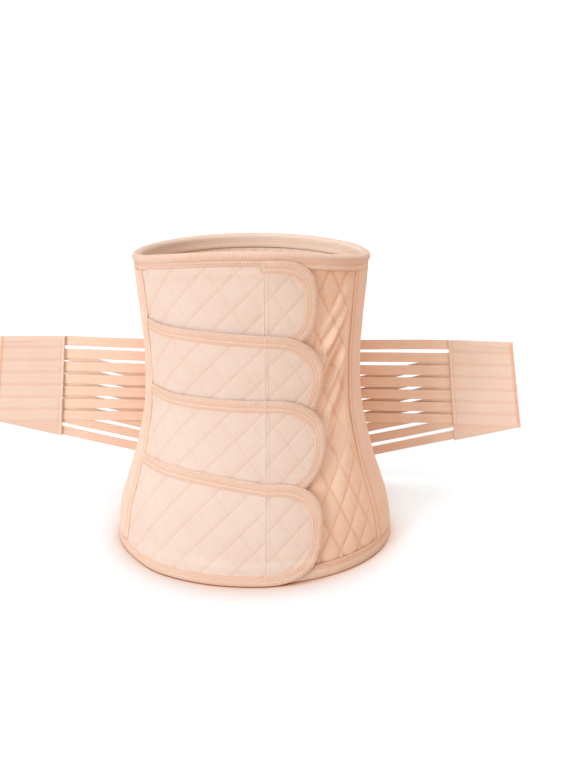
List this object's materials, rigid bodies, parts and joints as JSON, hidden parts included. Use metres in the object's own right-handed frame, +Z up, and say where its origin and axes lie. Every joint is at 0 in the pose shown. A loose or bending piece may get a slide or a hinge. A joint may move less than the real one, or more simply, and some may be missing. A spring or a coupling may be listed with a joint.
{
  "type": "abdominal binder",
  "caption": "Hourglass quilted belly binder that stands by itself, with overlapping front flaps, and crossing elastic strips that end in a fabric tab on each side.",
  "frame": {"origin": "on the floor under the middle of the whole object's box", "axes": "+Z up along the wearer's trunk, the closing flaps face -Y, +X to the right as seen from the front"},
  "size_m": [0.616, 0.2362, 0.313],
  "materials": {
    "quilted_cotton": "soft matt, diamond quilting",
    "twill_tape": "matt, diagonal twill ribs",
    "elastic": "slightly shiny ribbed elastic",
    "hook_fabric": "matt brushed fabric"
  },
  "bodies": {
    "root": {"body_wall": "quilted_cotton", "rim_binding": "twill_tape", "hem_binding": "twill_tape", "back_tape": "twill_tape", "right_side_tape": "twill_tape", "left_side_tape": "twill_tape", "flap_1_panel": "quilted_cotton", "flap_1_end": "quilted_cotton", "flap_1_binding": "twill_tape", "flap_2_panel": "quilted_cotton", "flap_2_end": "quilted_cotton", "flap_2_binding": "twill_tape", "flap_3_panel": "quilted_cotton", "flap_3_end": "quilted_cotton", "flap_3_binding": "twill_tape", "flap_4_panel": "quilted_cotton", "flap_4_end": "quilted_cotton", "flap_4_binding": "twill_tape", "right_level_strip_1": "elastic", "right_slant_strip_1": "elastic", "right_level_strip_2": "elastic", "right_slant_strip_2": "elastic", "right_level_strip_3": "elastic", "right_slant_strip_3": "elastic", "right_level_strip_4": "elastic", "right_slant_strip_4": "elastic", "right_level_strip_5": "elastic", "right_slant_strip_5": "elastic", "right_level_strip_6": "elastic", "right_slant_strip_6": "elastic", "right_level_strip_7": "elastic", "right_slant_strip_7": "elastic", "right_end_tab": "hook_fabric", "left_level_strip_1": "elastic", "left_slant_strip_1": "elastic", "left_level_strip_2": "elastic", "left_slant_strip_2": "elastic", "left_level_strip_3": "elastic", "left_slant_strip_3": "elastic", "left_level_strip_4": "elastic", "left_slant_strip_4": "elastic", "left_level_strip_5": "elastic", "left_slant_strip_5": "elastic", "left_level_strip_6": "elastic", "left_slant_strip_6": "elastic", "left_level_strip_7": "elastic", "left_slant_strip_7": "elastic", "left_end_tab": "hook_fabric"}
  },
  "joints": []
}
